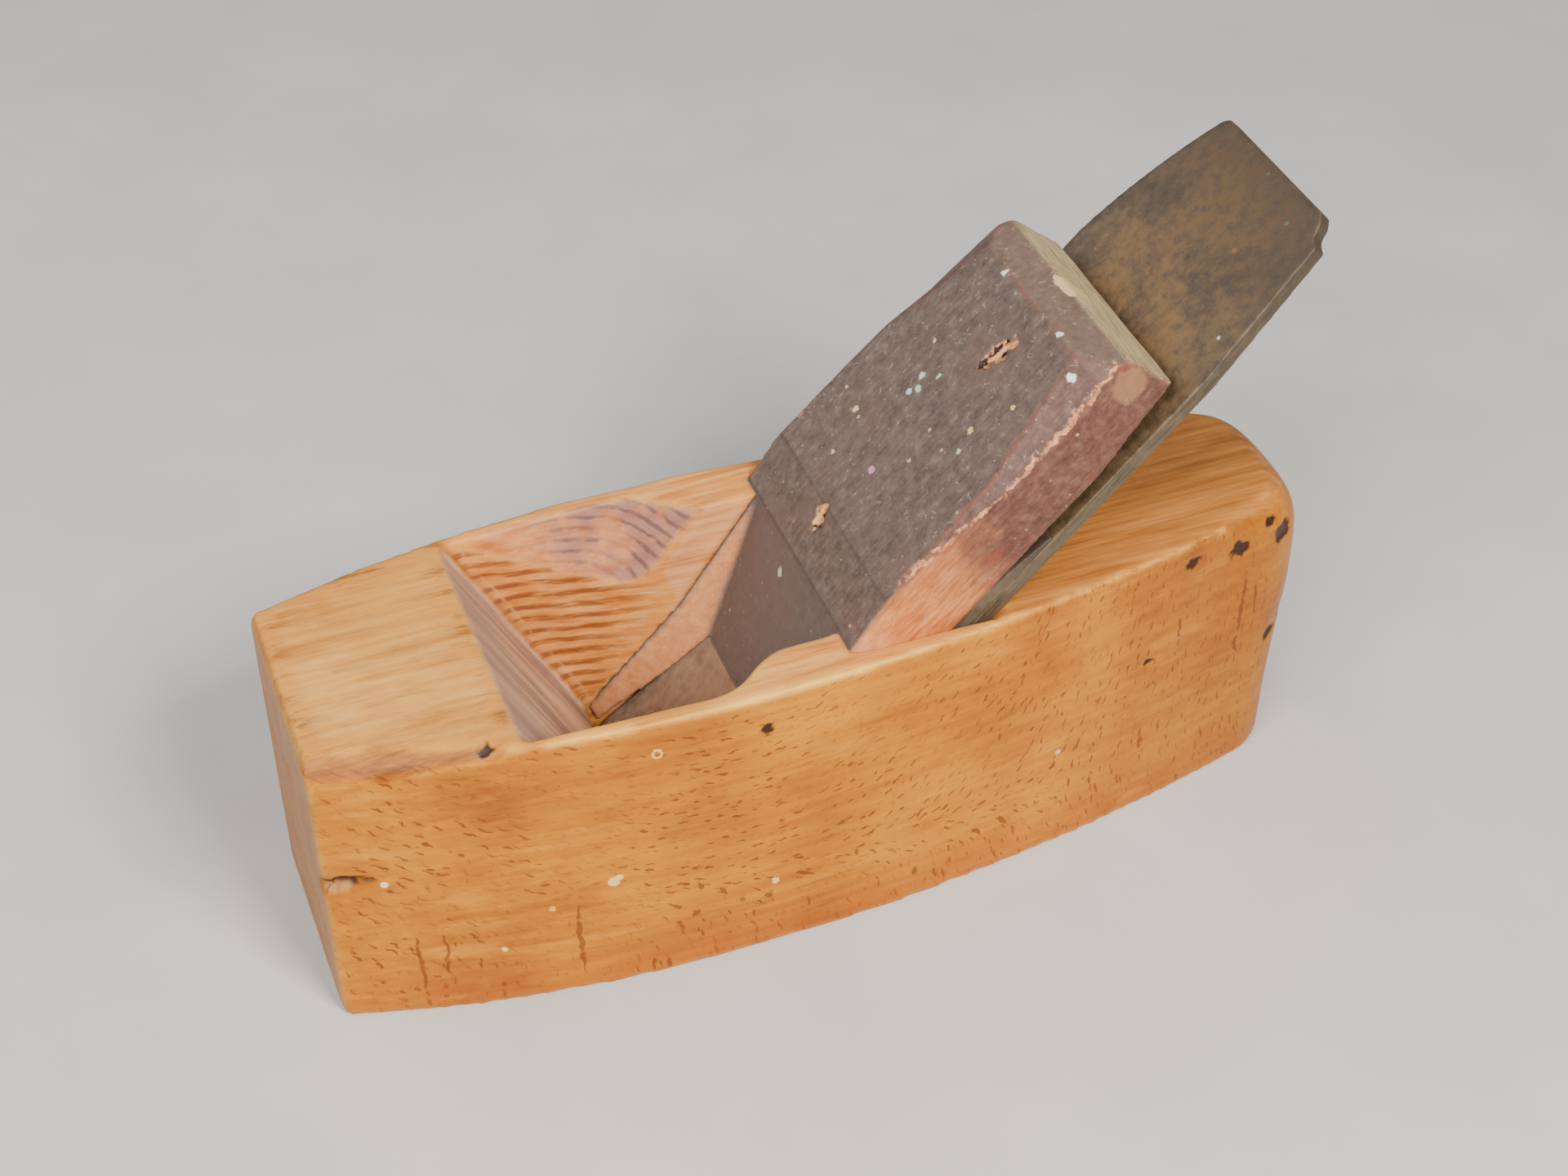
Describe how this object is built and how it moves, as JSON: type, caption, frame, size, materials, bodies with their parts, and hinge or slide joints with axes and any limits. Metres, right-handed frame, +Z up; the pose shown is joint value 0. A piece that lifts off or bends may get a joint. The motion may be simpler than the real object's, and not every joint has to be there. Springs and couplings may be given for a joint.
{
  "type": "smoothing plane",
  "caption": "Wooden hand plane with a bowed coffin-shaped stock, an open throat, a bevelled hardwood wedge and a slotted double iron bedded at forty-five degrees.",
  "frame": {"origin": "centre of the sole, under the middle of the stock", "axes": "+X towards the heel (the toe points to -X), +Z up from the sole, Y across the plane"},
  "size_m": [0.2052, 0.0688, 0.1329],
  "materials": {
    "stock_wood": "oiled beech, worn",
    "wedge_wood": "dark stained hardwood, worn",
    "iron_steel": "brown rust patina",
    "cap_steel": "grey brown patina",
    "boss_brass": "tarnished",
    "screw_steel": "dull grey"
  },
  "bodies": {
    "stock": {"stock": "stock_wood"},
    "cutting_iron": {"cutting_iron": "iron_steel"},
    "cap_iron": {"cap_iron": "cap_steel", "cap_boss": "boss_brass"},
    "cap_screw": {"cap_screw": "screw_steel"},
    "wedge": {"wedge": "wedge_wood"}
  },
  "joints": [
    {"name": "iron_slide", "type": "slide", "parent": "stock", "child": "cutting_iron", "axis": [0.7071, 0, 0.7071], "range_m": [0, 0.11]},
    {"name": "cap_slide", "type": "slide", "parent": "cutting_iron", "child": "cap_iron", "axis": [0.7071, 0, 0.7071], "range_m": [0, 0.06]},
    {"name": "wedge_slide", "type": "slide", "parent": "cap_iron", "child": "wedge", "axis": [0.7071, 0, 0.7071], "range_m": [0, 0.085]},
    {"name": "screw_turn", "type": "hinge", "parent": "cap_iron", "child": "cap_screw", "pos_m": [0.00797, 0, 0.04667], "axis": [0.7071, 0, -0.7071], "range_deg": [0, 720]}
  ]
}
